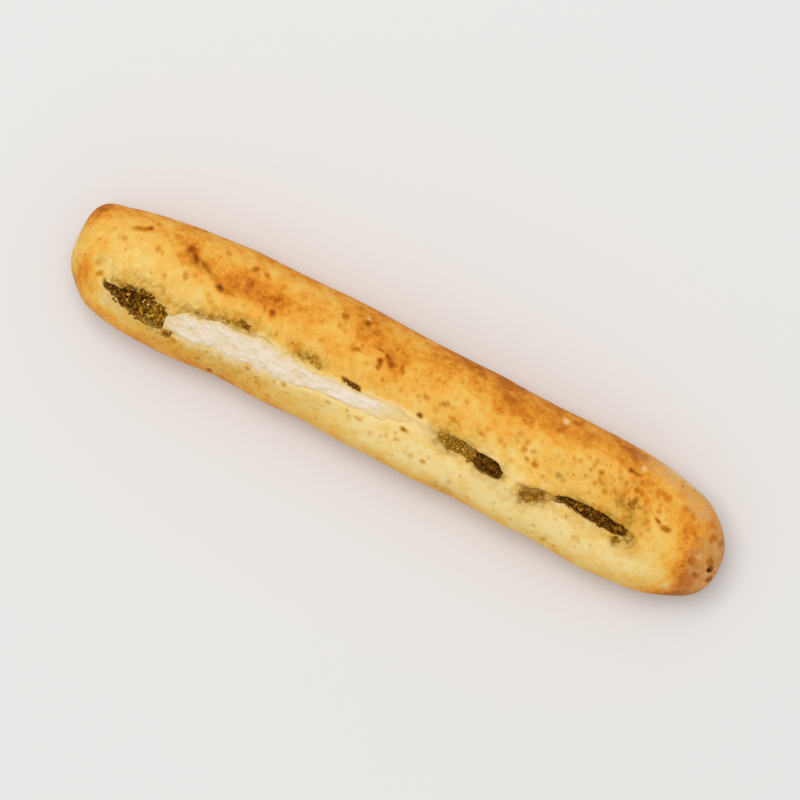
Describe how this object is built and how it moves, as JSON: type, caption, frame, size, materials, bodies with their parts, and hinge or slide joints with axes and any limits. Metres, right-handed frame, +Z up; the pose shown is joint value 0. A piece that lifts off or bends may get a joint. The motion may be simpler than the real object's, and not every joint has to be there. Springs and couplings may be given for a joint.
{
  "type": "garlic breadstick",
  "caption": "Short crisp garlic breadstick, a rounded rod of baked dough split along its top, with pale crumb and dark herb flakes in the tear.",
  "frame": {"origin": "middle of the stick's box in X and Y, on the plane that it rests on", "axes": "+X along the stick towards its drooping end, +Z up with the torn seam on top, +Y towards the browner side"},
  "size_m": [0.064, 0.0126, 0.0114],
  "materials": {
    "crust": "matt baked dough crust, amber where it browned and cream where it stayed pale",
    "crumb": "torn white bread crumb, dry and matt",
    "herbs": "dried, oven-darkened green herb flakes",
    "garlic": "small pale granules of dried garlic"
  },
  "bodies": {
    "root": {"breadstick": "crust"}
  },
  "joints": []
}
